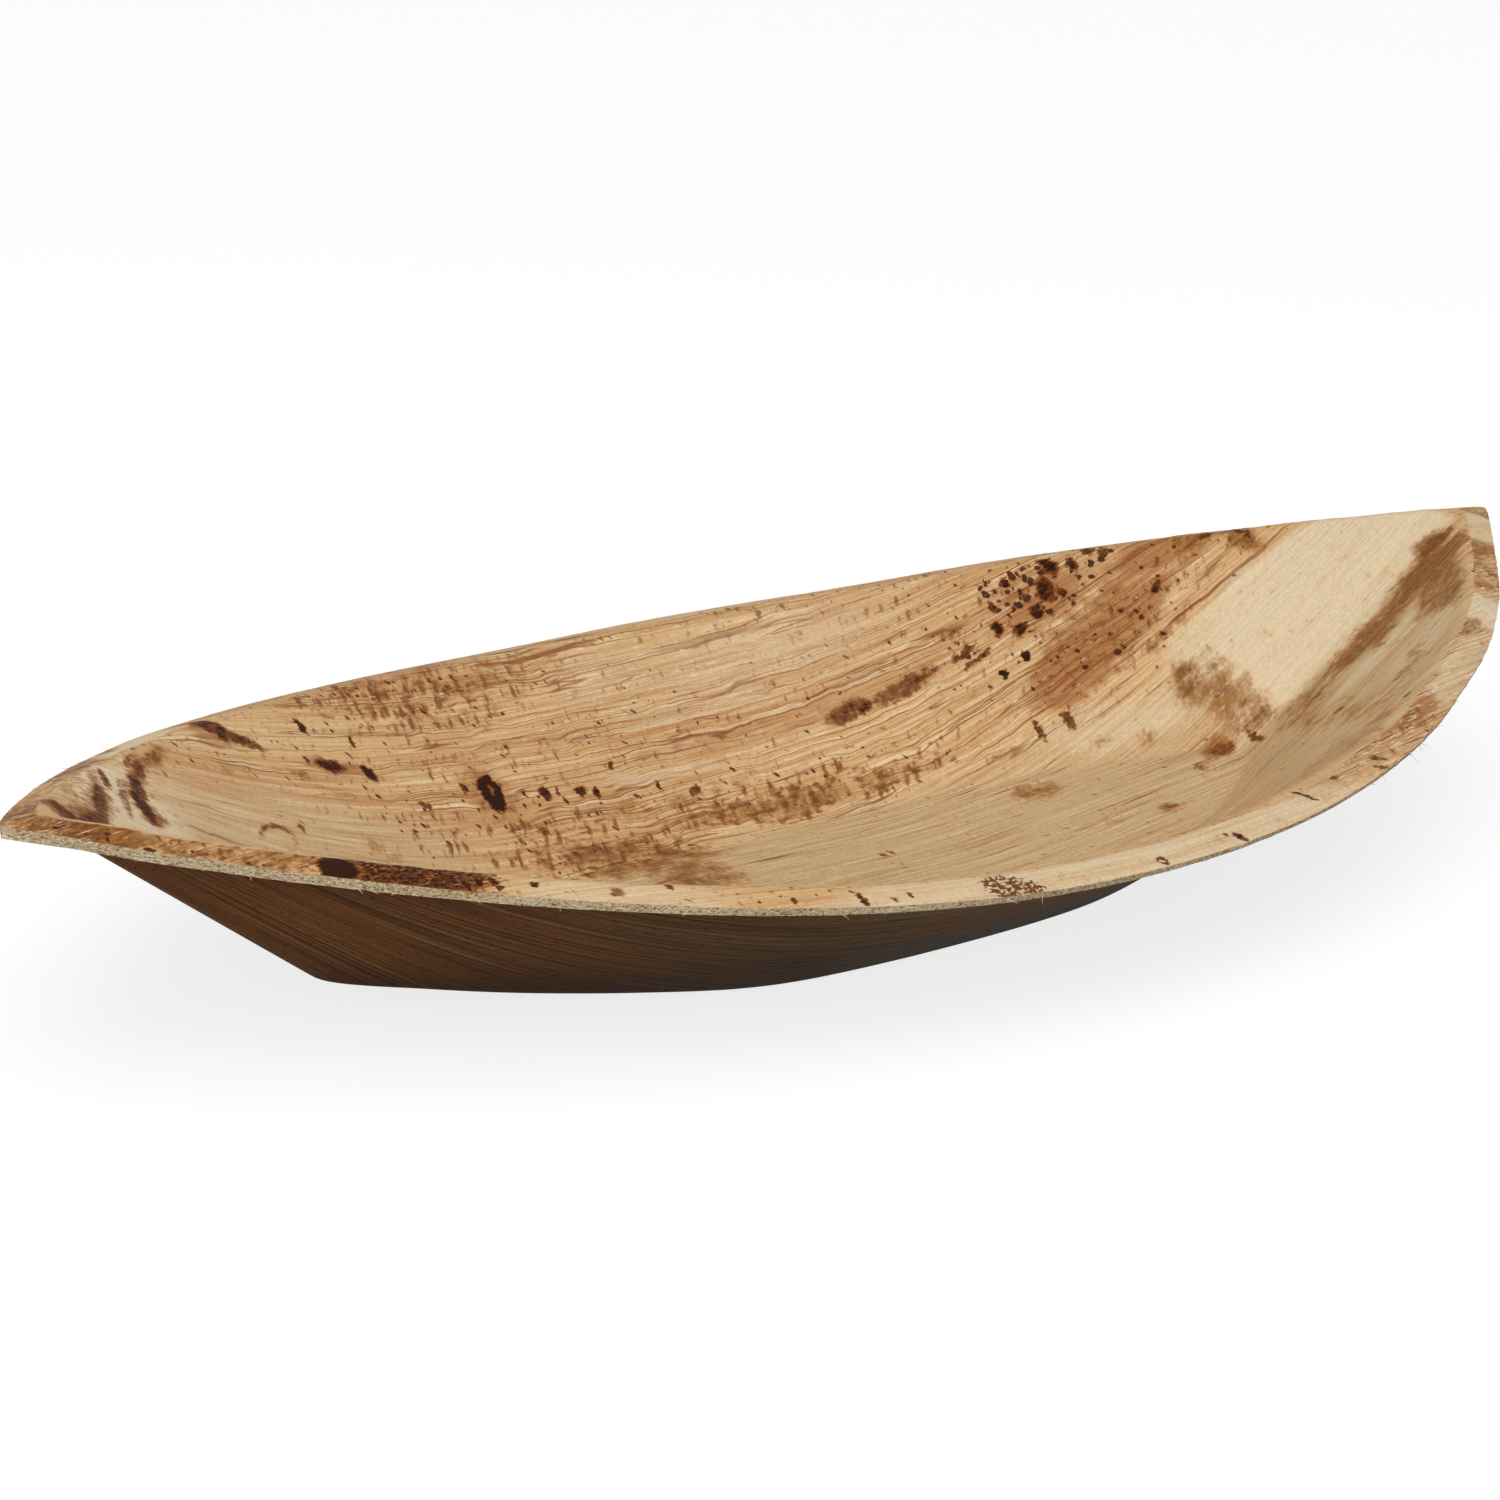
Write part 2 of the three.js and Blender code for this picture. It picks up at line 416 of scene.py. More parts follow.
# The rim band is what lies high up and faces outwards. The stains' outlines wander, further along
# the fibres than across them.
LOWEST_CREST = 17.0
WANDER_ALONG, WANDER_ACROSS = 1.6, 1.0
places = []
for vert in plate.data.vertices:
    x, y, z = vert.co / METRE_PER_MM
    drift_x = noise.noise(Vector((x * 0.11, y * 0.22, 3.0)))
    drift_y = noise.noise(Vector((x * 0.11, y * 0.22, 13.0)))
    facing_out = vert.normal.dot(outwards_at(x, y))
    on_band = smooth_step(-0.05, 0.12, facing_out) if z > LOWEST_CREST else 0.0
    places.append((x + drift_x * WANDER_ALONG, y + drift_y * WANDER_ACROSS, on_band))
for name, (dish_ovals, band_ovals) in MARKS_AND_PAINTED_LIGHT.items():
    strengths = []
    for x, y, on_band in places:
        in_dish = strength_of(dish_ovals, x, y) if on_band < 1 else 0.0
        on_rim = strength_of(band_ovals, x, y) if on_band > 0 else 0.0
        strengths.append(in_dish * (1 - on_band) + on_rim * on_band)
    oval_layer = plate.data.attributes.new(name, "FLOAT", "POINT")
    oval_layer.data.foreach_set("value", strengths)


class Reading:
    """A value read from the surface of a finish; arithmetic on it adds Math nodes."""

    def __init__(self, finish, socket):
        self.finish = finish
        self.socket = socket

    def math(self, operation, *values):
        inputs = dict(enumerate(values))
        return self.finish.node("ShaderNodeMath", {"operation": operation}, inputs)

    def __add__(self, other):
        return self.math("ADD", self, other)

    __radd__ = __add__

    def __mul__(self, other):
        return self.math("MULTIPLY", self, other)

    __rmul__ = __mul__

    def __sub__(self, other):
        return self.math("SUBTRACT", self, other)

    def __rsub__(self, other):
        return self.math("SUBTRACT", other, self)

    def __abs__(self):
        return self.math("ABSOLUTE", self)

    def at_least(self, other):
        return self.math("MAXIMUM", self, other)


class Finish:
    """One material and its nodes."""

    def __init__(self, name):
        self.material = bpy.data.materials.new(name)
        self.material.use_nodes = True
        self.tree = self.material.node_tree
        self.tree.nodes.clear()

    def node(self, kind, settings=None, inputs=None, output=0):
        made = self.tree.nodes.new(kind)
        for name, value in (settings or {}).items():
            setattr(made, name, value)
        for name, value in (inputs or {}).items():
            if isinstance(value, Reading):
                self.tree.links.new(value.socket, made.inputs[name])
            else:
                made.inputs[name].default_value = value
        return Reading(self, made.outputs[output]) if len(made.outputs) else made

    def place_in_mm(self):
        """The x, y and z of the point on the piece, in millimetres."""
        place = self.node("ShaderNodeTexCoord", output="Object")
        for axis in "XYZ":
            yield self.node("ShaderNodeSeparateXYZ", inputs={0: place}, output=axis) * 1000.0

    def point(self, x, y, z=0.0):
        return self.node("ShaderNodeCombineXYZ", inputs={0: x, 1: y, 2: z})

    def cloud(self, x, y, detail=3.0, roughness=0.55):
        return self.node(
            "ShaderNodeTexNoise",
            {"noise_dimensions": "2D"},
            {
                "Vector": self.point(x, y),
                "Scale": 1.0,
                "Detail": detail,
                "Roughness": roughness,
            },
        )

    def dots(self, x, y, swell):
        """Separate round dots, one in each unit square at most: above zero inside a dot. Swell is
        how large they are, and every dot has its own size."""
        settings = {"voronoi_dimensions": "2D", "feature": "F1"}
        inputs = {"Vector": self.point(x, y), "Scale": 1.0, "Randomness": 1.0}
        away = self.node("ShaderNodeTexVoronoi", settings, inputs, "Distance")
        own_size = self.node("ShaderNodeTexVoronoi", settings, inputs, "Color")
        return swell + (own_size - 0.5) * 1.5 - away * 1.5

    def painted(self, name):
        """A strength that is kept on the mesh under that name."""
        return self.node("ShaderNodeAttribute", {"attribute_name": name}, output="Fac")

    def ramp(self, value, low, high, bottom=0.0, top=1.0):
        """Goes smoothly from bottom to top as value goes from low to high."""
        return self.node(
            "ShaderNodeMapRange",
            {"interpolation_type": "SMOOTHSTEP"},
            {
                "Value": value,
                "From Min": low,
                "From Max": high,
                "To Min": bottom,
                "To Max": top,
            },
        )

    def tint(self, share, under, over, blend="MIX"):
        """The colour under, with over laid on it by share."""
        settings = {"data_type": "RGBA", "blend_type": blend}
        return self.node("ShaderNodeMix", settings, {0: share, 6: under, 7: over}, 2)

    def shaded(self, colour, shade):
        """The colour times a number."""
        grey = self.node("ShaderNodeCombineColor", inputs={0: shade, 1: shade, 2: shade})
        return self.tint(1.0, colour, grey, "MULTIPLY")

    def along(self, point, direction):
        """How far the point lies along a direction. Its z is 1, so the third number is added."""
        both = {0: point, 1: direction}
        return self.node("ShaderNodeVectorMath", {"operation": "DOT_PRODUCT"}, both, "Value")

    def spot(self, point, x, y, length, width, turn, softness, strength):
        """The strength inside an ellipse of that length and width, zero outside it. The point's z
        has to be 1."""
        angle = math.radians(turn)
        long_way = Vector((math.cos(angle), math.sin(angle))) / (length / 2)
        short_way = Vector((-math.sin(angle), math.cos(angle))) / (width / 2)
        centre = Vector((x, y))
        far_along = self.along(point, (*long_way, -long_way.dot(centre)))
        far_across = self.along(point, (*short_way, -short_way.dot(centre)))
        reach = far_along * far_along + far_across * far_across
        return self.ramp(reach, (1 - softness) ** 2, (1 + softness) ** 2, strength, 0.0)

    def spots(self, point, rows):
        """The strongest of several spots; each row ends with its strength."""
        whole = self.spot(point, *rows[0])
        for row in rows[1:]:
            whole = whole.at_least(self.spot(point, *row))
        return whole

    def bumps(self, height, depth):
        return self.node(
            "ShaderNodeBump", inputs={"Strength": 1.0, "Distance": depth, "Height": height}
        )

    def show(self, surface):
        self.node("ShaderNodeOutputMaterial", inputs={"Surface": surface})


def dye(red, green, blue):
    """An 8-bit screen colour as Blender's linear colour."""
    linear = []
    for value in (red, green, blue):
        share = value / 255
        linear.append(share / 12.92 if share <= 0.04045 else ((share + 0.055) / 1.055) ** 2.4)
    return (*linear, 1.0)


# The upper face: the smooth inner side of the sheath, straw to tan, with fine long fibres, hairline
# cracks along them, and the brown stains and black scars that the leaf got while it grew. It also
# carries painted highlights on the crack lips and glints, and painted shade under the crest at the
# thin point.

upper = Finish("leaf_upper_face")
x, y, _ = upper.place_in_mm()
grain = grain_line(x, y)
broad = upper.cloud(x * 0.012, grain * 0.16, 4.0)
streaks = upper.cloud(x * 0.02, grain * 0.85, 4.0, 0.6)
fibres = upper.cloud(x * 0.05, grain * 2.3, 2.0, 0.6)
grit = upper.cloud(x * 1.7, grain * 1.9, 2.0)
dashes = upper.cloud(x - grain * 0.3, grain * 0.5, 1.5)
smudges = upper.cloud(x * 0.5 + 17.0, grain * 1.2, 2.5)
blots = upper.cloud(x * 0.3 + 40.0, grain * 0.42, 3.0, 0.6)

# The ground: tan, with paler and more olive parts and long light and dark streaks. There are fewer
# marks in the pale and olive parts.
pale = upper.painted("pale") + (streaks - 0.5) * 0.4 + (broad - 0.5) * 0.6
pale = upper.ramp(pale, 0.2, 0.85)
colour = upper.tint(upper.ramp(broad, 0.3, 0.7), dye(209, 172, 122), dye(194, 150, 102))
olive = upper.ramp(upper.painted("olive") + (broad - 0.5) * 0.8, 0.1, 0.9)
plain = 1 - pale * 0.9
quiet = pale * 0.3 + olive * 0.16
colour = upper.tint(olive, colour, dye(196, 165, 122))
colour = upper.tint(pale, colour, dye(216, 196, 163))
lively = plain * (1 - olive * 0.6)
colour = upper.tint(upper.ramp(streaks, 0.5, 0.75) * lively * 0.4, colour, dye(230, 206, 166))
colour = upper.tint(upper.ramp(streaks, 0.5, 0.25) * lively * 0.3, colour, dye(180, 134, 90))

# Every fibre is a little paler or browner than the next. The paler ones are laid on here and the
# browner ones after all the stains, because they show through them.
fibre_share = 1 - pale * 0.5
paler = upper.ramp(fibres, 0.5, 0.74) * fibre_share
browner = upper.ramp(fibres, 0.5, 0.26) * fibre_share
colour = upper.tint(paler * 0.26, colour, dye(246, 228, 194))

# Hairline cracks that follow the grain, on the back wall above all.
sway = upper.cloud(x * 0.11, grain * 0.09, 2.0) * 1.6
swayed = grain + sway
split = upper.cloud(x * 0.011, swayed * 0.5 + 11.0, 1.0)
finer_split = upper.cloud(x * 0.014 + 20.0, swayed * 0.85 + 5.0, 1.0)
healed = upper.cloud(x * 0.05 + 70.0, swayed * 0.7, 2.0)
wide_cracks = upper.ramp(abs(split - 0.5), 0.002, 0.017, 1.0, 0.0)
fine_cracks = upper.ramp(abs(finer_split - 0.5), 0.002, 0.018, 0.85, 0.0)
open_here = upper.ramp(healed + upper.painted("cracked") * 0.3, 0.48, 0.68) * plain
cracks = wide_cracks.at_least(fine_cracks) * open_here
# Painted highlight: a thin light line along one side of each crack, where its lip would catch the
# light.
painted_lip_highlights = upper.ramp(abs(split - 0.532), 0.0, 0.02, 1.0, 0.0) * open_here
colour = upper.tint(painted_lip_highlights * 0.5, colour, dye(240, 220, 186))

# Larger stains: tawny where the leaf dried slowly, and brown where it was bruised. Just under the
# crest at the thin point the brown is also painted shade. The cracks go through both.
tawny = upper.painted("tawny") + (streaks - 0.5) * 1.1 + (blots - 0.5) * 0.6
colour = upper.tint(upper.ramp(tawny, 0.2, 0.85) * 0.9, colour, dye(166, 112, 68))
brown = upper.painted("brown") + (blots - 0.5) * 1.2 + (grit - 0.5) * 0.8 + (dashes - 0.5) * 0.5
dark_brown = upper.tint(upper.ramp(streaks, 0.35, 0.65), dye(142, 91, 36), dye(94, 56, 16))
colour = upper.tint(upper.ramp(brown, 0.1, 0.6) * 0.55, colour, dye(184, 134, 80))
colour = upper.tint(upper.ramp(brown, 0.28, 1.05) * 0.85, colour, dark_brown)
colour = upper.tint(cracks * 0.8, colour, dye(128, 72, 34))

# Small brown marks: ticks across the grain, smudges along it, and dark round pits with rusty rims.
jitter = upper.cloud(x * 0.9 + 60.0, y * 0.9, 2.0) - 0.5
tick_swell = upper.painted("flecked") * 0.5 + (blots - 0.5) * 0.9 - quiet - 0.2
tick = upper.dots((x - grain * 0.3 + jitter) * 0.9, (grain + jitter) * 0.42, tick_swell)
colour = upper.tint(upper.ramp(tick, -0.12, 0.22) * plain * 0.5, colour, dye(150, 96, 52))
colour = upper.tint(upper.ramp(tick, 0.12, 0.54) * plain * 0.68, colour, dye(96, 54, 24))
smudge = smudges - quiet + upper.painted("smudged") * 0.24
smudge = smudge + (blots - 0.5) * 0.25 + (dashes - 0.5) * 0.25
colour = upper.tint(upper.ramp(smudge, 0.66, 0.8) * plain * 0.6, colour, dye(136, 86, 44))
colour = upper.tint(upper.ramp(smudge, 0.78, 0.92) * plain * 0.7, colour, dye(98, 56, 26))
pit_swell = upper.painted("pitted") * 0.74 - quiet - 0.2
pit = upper.dots((x + jitter) * 0.9, (y - jitter) * 0.9, pit_swell)
colour = upper.tint(upper.ramp(pit, -0.12, 0.1) * plain * 0.6, colour, dye(142, 84, 42))
colour = upper.tint(upper.ramp(pit, 0.06, 0.24) * plain * 0.9, colour, dye(58, 28, 12))

# On the rim band a crust of black and rust, and a rusty patch, both crumbled. They and the scars
# are placed on a point that noise has moved, which frays their outlines.
feather = upper.cloud(x * 0.25, grain * 1.6, 3.0, 0.6) - 0.5
bulge = upper.cloud(x * 0.9, y * 1.1, 2.0, 0.6) - 0.5
frayed = upper.point(x + feather * 1.2 + bulge * 0.8, y + bulge * 1.1, 1.0)
nearly_black = dye(34, 10, 2)
crumbled = (grit - 0.5) * 3.4 + (smudges - 0.5) * 2.4 + 1.0
crust = upper.spot(frayed, -89.5, -27.0, 17, 6.0, -33, 0.4, 1.0) * crumbled
colour = upper.tint(upper.ramp(crust, 0.3, 0.6) * 0.8, colour, dye(116, 60, 22))
colour = upper.tint(upper.ramp(crust, 0.85, 1.05) * 0.94, colour, nearly_black)
rust = upper.spot(frayed, -23, -54.6, 8, 4.8, -20, 0.4, 1.0) * crumbled
colour = upper.tint(upper.ramp(rust, 0.75, 0.9) * 0.95, colour, dye(98, 46, 8))

# Scars: nearly black inside a singed rim, from small specks to the knot, which has a light heart.
# Each row gives x, y, length, width, turn in degrees, softness and strength.
scar = upper.spots(
    frayed,
    [
        (-63.2, 38.9, 5.5, 3.2, -25, 0.5, 0.86),
        (-60.3, 37.9, 7.6, 1.7, -8, 0.5, 0.8),
        (-65.2, 41.5, 5.5, 2.2, -75, 0.5, 0.72),
        (-46.3, 42.1, 1.2, 2.0, -15, 0.5, 0.85),
        (-46, 36.8, 4.4, 1.6, 0, 0.5, 0.95),
        (-40, 36.6, 1.8, 2.2, 0, 0.5, 0.95),
        (-49.6, 37.1, 0.9, 0.9, 0, 0.5, 0.8),
        (-39.2, 40.7, 0.7, 1.6, -20, 0.5, 0.8),
        (-25.8, 35.1, 1.1, 1.2, 0, 0.5, 0.85),
        (-34.2, 32.7, 1.7, 1.0, 0, 0.5, 0.75),
        (-16.9, 33.7, 0.8, 0.8, 0, 0.5, 0.85),
        (-13.7, 33.4, 1.6, 1.6, 0, 0.5, 0.95),
        (-11.4, 33.4, 0.7, 0.9, 0, 0.5, 0.8),
        (-8.1, 32.9, 1.7, 1.2, 25, 0.5, 0.9),
        (-5.8, 32.4, 1.1, 1.3, 0, 0.5, 0.95),
        (4.2, 31.6, 0.7, 1.1, 0, 0.5, 0.85),
        (-0.6, 35.5, 0.7, 1.4, -35, 0.5, 0.7),
        (8.9, 29.9, 2.2, 0.9, 20, 0.6, 0.7),
        (-18, 28.8, 1.6, 1.1, 0, 0.6, 0.7),
        (38, 32.1, 7, 2.0, 0, 0.6, 0.66),
        (47.5, 31.2, 9.8, 2.0, -3, 0.6, 0.6),
        (57.5, 30.5, 4, 0.8, 0, 0.6, 0.75),
        (40.5, 31.6, 3, 1.2, 0, 0.6, 0.8),
        (50, 31.0, 4, 1.2, -3, 0.6, 0.75),
        (63.6, 30.4, 1.5, 1.8, 0, 0.5, 1.0),
        (58.4, 28.9, 4.4, 0.6, 0, 0.6, 0.8),
        (66.1, 28.6, 2.0, 1.4, 0, 0.6, 0.9),
        (69.4, 28.9, 1.7, 1.8, 0, 0.6, 0.95),
        (72.4, 30.3, 1.9, 2.6, -25, 0.7, 0.95),
        (73.8, 28.6, 1.2, 1.3, 0, 0.5, 0.9),
        (74.8, 32.4, 1.5, 2.8, 25, 0.7, 0.95),
        (77.5, 30.5, 1.2, 1.8, 0, 0.6, 0.9),
        (80.8, 30.8, 1.6, 1.6, 0, 0.6, 0.85),
        (60.3, 25.7, 1.1, 1.2, 0, 0.4, 1.0),
        (64.3, 25.7, 1.1, 1.2, 0, 0.4, 1.0),
        (84.2, 21.3, 1.7, 1.1, 20, 0.5, 0.8),
        (77, 1.9, 3.4, 2.2, -10, 0.6, 0.55),
        (80.8, -0.4, 0.9, 4.2, -15, 0.6, 0.65),
        (57.6, -6.7, 2.6, 1.8, -10, 0.6, 0.5),
        (-91, 17.2, 5.5, 2.2, 75, 0.5, 0.95),
        (-89, 20.8, 6, 1.8, 62, 0.6, 0.85),
        (-85.6, 25, 5, 1.4, 50, 0.6, 0.7),
        (-100.5, 13.4, 9, 1.6, 52, 0.6, 0.8),
        (-106, 7.6, 10, 1.8, 35, 0.6, 0.75),
        (-112, 4.2, 4, 5, 20, 0.6, 0.8),
        (-95, 19.5, 4, 1.0, 62, 0.6, 0.7),
        (-102, 11, 6, 1.2, 50, 0.6, 0.6),
        (-94, 17, 7, 1.2, 60, 0.6, 0.5),
        (-85.5, 26.5, 5, 1.2, 40, 0.6, 0.5),
        (-80, 29, 5, 1.2, 30, 0.6, 0.5),
        (-96.8, -23, 4.2, 4.2, -40, 0.4, 1.35),
        (-85.5, -31.4, 1.0, 1.6, 0, 0.5, 1.0),
        (-84, -31.6, 0.8, 1.4, 0, 0.5, 1.0),
        (-82.4, -32, 0.9, 1.5, 0, 0.5, 1.0),
        (-81, -30.6, 0.8, 1.4, -20, 0.5, 0.9),
        (-78.3, -34.4, 1.0, 0.8, 0, 0.5, 0.9),
        (-70.2, -39.2, 1.8, 1.4, 0, 0.6, 0.5),
        (-53, -43.4, 1.6, 1.0, -30, 0.6, 0.5),
        (-51.4, -47.9, 0.7, 0.9, 0, 0.5, 0.8),
        (-39.3, -51.7, 0.7, 0.8, 0, 0.5, 0.7),
        (-36.8, -51.7, 0.6, 0.8, 0, 0.5, 0.7),
        (-63.5, -40.4, 0.9, 1.5, -20, 0.5, 0.8),
        (-43.1, -50.4, 0.9, 2.2, -15, 0.5, 0.85),
        (14.2, -55.8, 1.0, 1.8, 25, 0.5, 0.85),
        (12.6, -55, 0.8, 0.8, 0, 0.5, 0.7),
        (19.2, 6.2, 0.7, 1.5, 0, 0.5, 0.6),
        (20.9, 6.8, 0.7, 1.7, 0, 0.5, 0.65),
        (113, -1.8, 4.5, 3, -10, 0.7, 0.5),
        (95, -5, 8, 3.6, 10, 0.8, 0.3),
        (105, -7.2, 8, 1.6, -15, 0.7, 0.4),
        (75.8, -18.3, 1.2, 2.0, -30, 0.6, 0.5),
        (67, -36.4, 1.4, 0.8, 20, 0.6, 0.7),
        (59.4, 18, 0.9, 2.4, 0, 0.5, 0.75),
        (63.6, 16.6, 1.2, 2.4, 0, 0.5, 0.7),
        (-59.9, 25.8, 0.8, 1.2, 0, 0.6, 0.55),
        (30, -52, 0.8, 3.0, 35, 0.5, 0.8),
        (94, 22, 2.2, 1.2, -15, 0.5, 0.7),
        (98, 19.2, 1.0, 3.0, 10, 0.5, 0.8),
        (91, 24, 1.6, 0.8, -15, 0.5, 0.6),
        (65, 32.8, 1.0, 1.2, 0, 0.5, 0.9),
        (68.6, 34, 1.0, 1.4, 0, 0.5, 0.9),
        (82, 29.2, 1.6, 1.0, 0, 0.5, 0.8),
        (71, 0, 1.6, 2.6, -20, 0.6, 0.4),
        (50, 10, 4, 1.6, 5, 0.8, 0.35),
        (47.2, -48.7, 2.2, 0.9, -20, 0.6, 0.7),
        (45.8, -50.4, 1.6, 0.8, -20, 0.6, 0.65),
        (37.5, -50.2, 1.5, 0.8, 10, 0.6, 0.55),
    ],
)
knot = upper.spot(frayed, -21.9, 34.2, 5.0, 3.2, 68, 0.3, 1.3)
heart = upper.spot(frayed, -21.7, 34.4, 1.5, 0.7, 68, 0.5, 0.6)
scar = scar.at_least(knot * (1 - heart))
scar = scar.at_least(upper.spot(frayed, -21.9, 34.2, 8, 6, 68, 0.6, 0.3))
ring = upper.spot(frayed, -66, 22.8, 7.4, 3.4, 25, 0.25, 0.6)
scar = scar.at_least(ring - upper.spot(frayed, -66.2, 22.4, 6.4, 2.6, 25, 0.25, 0.6))
small_ring = upper.spot(frayed, 0.2, -56.4, 1.7, 1.5, 0, 0.3, 0.8)
scar = scar.at_least(small_ring - upper.spot(frayed, 0.2, -56.4, 0.9, 0.7, 0, 0.5, 0.8))
scar = scar * 1.1 + (dashes - 0.5) * 0.45 + (smudges - 0.5) * 0.55 + (grit - 0.5) * 0.6
singed = upper.ramp(scar, 0.22, 0.68)
charred = upper.ramp(scar, 0.6, 1.1)
colour = upper.tint(upper.ramp(scar, 0.08, 0.34) * 0.35, colour, dye(170, 114, 64))
colour = upper.tint(singed * 0.85, colour, dye(112, 58, 20))
colour = upper.tint(charred * 0.94, colour, nearly_black)

# The browner fibres and the fine grit go over all the stains.
colour = upper.tint(browner * 0.42, colour, dye(208, 172, 128), "MULTIPLY")
colour = upper.shaded(colour, upper.ramp(grit, 0.3, 0.7, 0.93, 1.06))

# A glossy coat where the leaf's own wax was polished by the die, with whitish painted highlights on
# the same places.
wax_and_painted_sheen = upper.cloud(x * 0.35 + 90.0, grain * 2.1, 2.0) + upper.painted("glossy_with_painted_glints") * 0.2
coat_and_painted_glints = upper.ramp(wax_and_painted_sheen, 0.72, 0.84) * (1 - singed * 0.8)
# Painted highlight: whitish glints laid into the colour where the coat is glossy.
colour = upper.tint(coat_and_painted_glints * 0.45, colour, dye(242, 226, 200))

height = fibres * 0.6 + streaks * 0.5 + grit * 0.2 - cracks * 0.3 - charred * 0.3
surface = upper.node(
    "ShaderNodeBsdfPrincipled",
    inputs={
        "Base Color": colour,
        "Roughness": upper.ramp(fibres, 0.3, 0.7, 0.55, 0.7),
        "Specular IOR Level": 0.05,
        "Coat Weight": coat_and_painted_glints * 0.4,
        "Coat Roughness": 0.3,
        "Normal": upper.bumps(height, 0.00016),
    },
)
upper.show(surface)

# The lower face: the sheath's outer side, a duller brown with fine ribs. Painted shade makes it
# darker towards the floor and a little lighter up towards the rim.

lower = Finish("leaf_lower_face")
x, y, z = lower.place_in_mm()
grain = grain_line(x, y)
broad = lower.cloud(x * 0.012 + 30.0, grain * 0.05, 2.0)
ribs = lower.cloud(x * 0.016, grain * 1.5, 3.0, 0.65)
threads = lower.cloud(x * 0.03 + 9.0, grain * 2.6, 2.0)
specks = lower.cloud(x * 0.9, grain * 2.2, 2.0)
bundles = lower.cloud(x * 0.012 + 50.0, grain * 0.9, 1.0)
finer_bundles = lower.cloud(x * 0.016 + 80.0, grain * 1.7, 1.0)
reddish = lower.ramp(broad * 0.6 - x * 0.004 - z * 0.012, 0.0, 0.5)
colour = lower.tint(reddish, dye(156, 130, 90), dye(174, 116, 68))
colour = lower.tint(lower.ramp(ribs, 0.5, 0.64) * 0.75, colour, dye(84, 50, 26))
colour = lower.tint(lower.ramp(ribs, 0.45, 0.27) * 0.5, colour, dye(204, 172, 126))
veins = lower.ramp(abs(bundles - 0.5), 0.0, 0.03, 0.55, 0.0)
finer_veins = lower.ramp(abs(finer_bundles - 0.5), 0.0, 0.05, 0.45, 0.0)
colour = lower.tint(veins.at_least(finer_veins), colour, dye(66, 42, 22))
colour = lower.tint(lower.ramp(specks, 0.64, 0.74) * 0.8, colour, dye(54, 32, 16))
colour = lower.shaded(colour, lower.ramp(threads, 0.3, 0.7, 0.66, 1.24))
# Painted shade: the colour darkens towards the floor and lightens a little up towards the rim.
colour = lower.shaded(colour, lower.ramp(z, 0.5, 16.0, 0.34, 1.16))
colour = lower.shaded(colour, lower.ramp(z, 2.0, 10.0, 0.45, 1.0))
surface = lower.node(
    "ShaderNodeBsdfPrincipled",
    inputs={
        "Base Color": colour,
        "Roughness": 0.75,
        "Specular IOR Level": 0.1,
        "Normal": lower.bumps(ribs + threads * 0.6, 0.00025),
    },
)
lower.show(surface)

# The cut edge: the porous core of the sheath, grey and cream grains that the press has flattened.

core = Finish("leaf_cut_edge")
place = core.node("ShaderNodeTexCoord", output="Object")
in_flat_mm = {0: place, 1: (1000.0, 1000.0, 1600.0)}
place = core.node("ShaderNodeVectorMath", {"operation": "MULTIPLY"}, in_flat_mm)
grains = core.node(
    "ShaderNodeTexNoise",
    inputs={"Vector": place, "Scale": 2.2, "Detail": 3.0, "Roughness": 0.8},
)
patchy = core.node("ShaderNodeTexNoise", inputs={"Vector": place, "Scale": 0.12, "Detail": 2.0})
colour = core.tint(core.ramp(patchy, 0.35, 0.65), dye(246, 220, 176), dye(230, 196, 146))
colour = core.tint(core.ramp(grains, 0.5, 0.62), colour, dye(255, 248, 224))
colour = core.tint(core.ramp(grains, 0.47, 0.36) * 0.9, colour, dye(116, 80, 46))
surface = core.node(
    "ShaderNodeBsdfPrincipled",
    inputs={
        "Base Color": colour,
        "Roughness": 0.75,
        "Specular IOR Level": 0.2,
        "Normal": core.bumps(grains, 0.0003),
    },
)
core.show(surface)

for finish in (upper, lower, core):
    plate.data.materials.append(finish.material)
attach(plate, "root")
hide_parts("pressed_leaf_plate")


# Stray fibres along the cut edge
# The trimming knife leaves short ends of the sheath's pale fibres standing out of the cut.

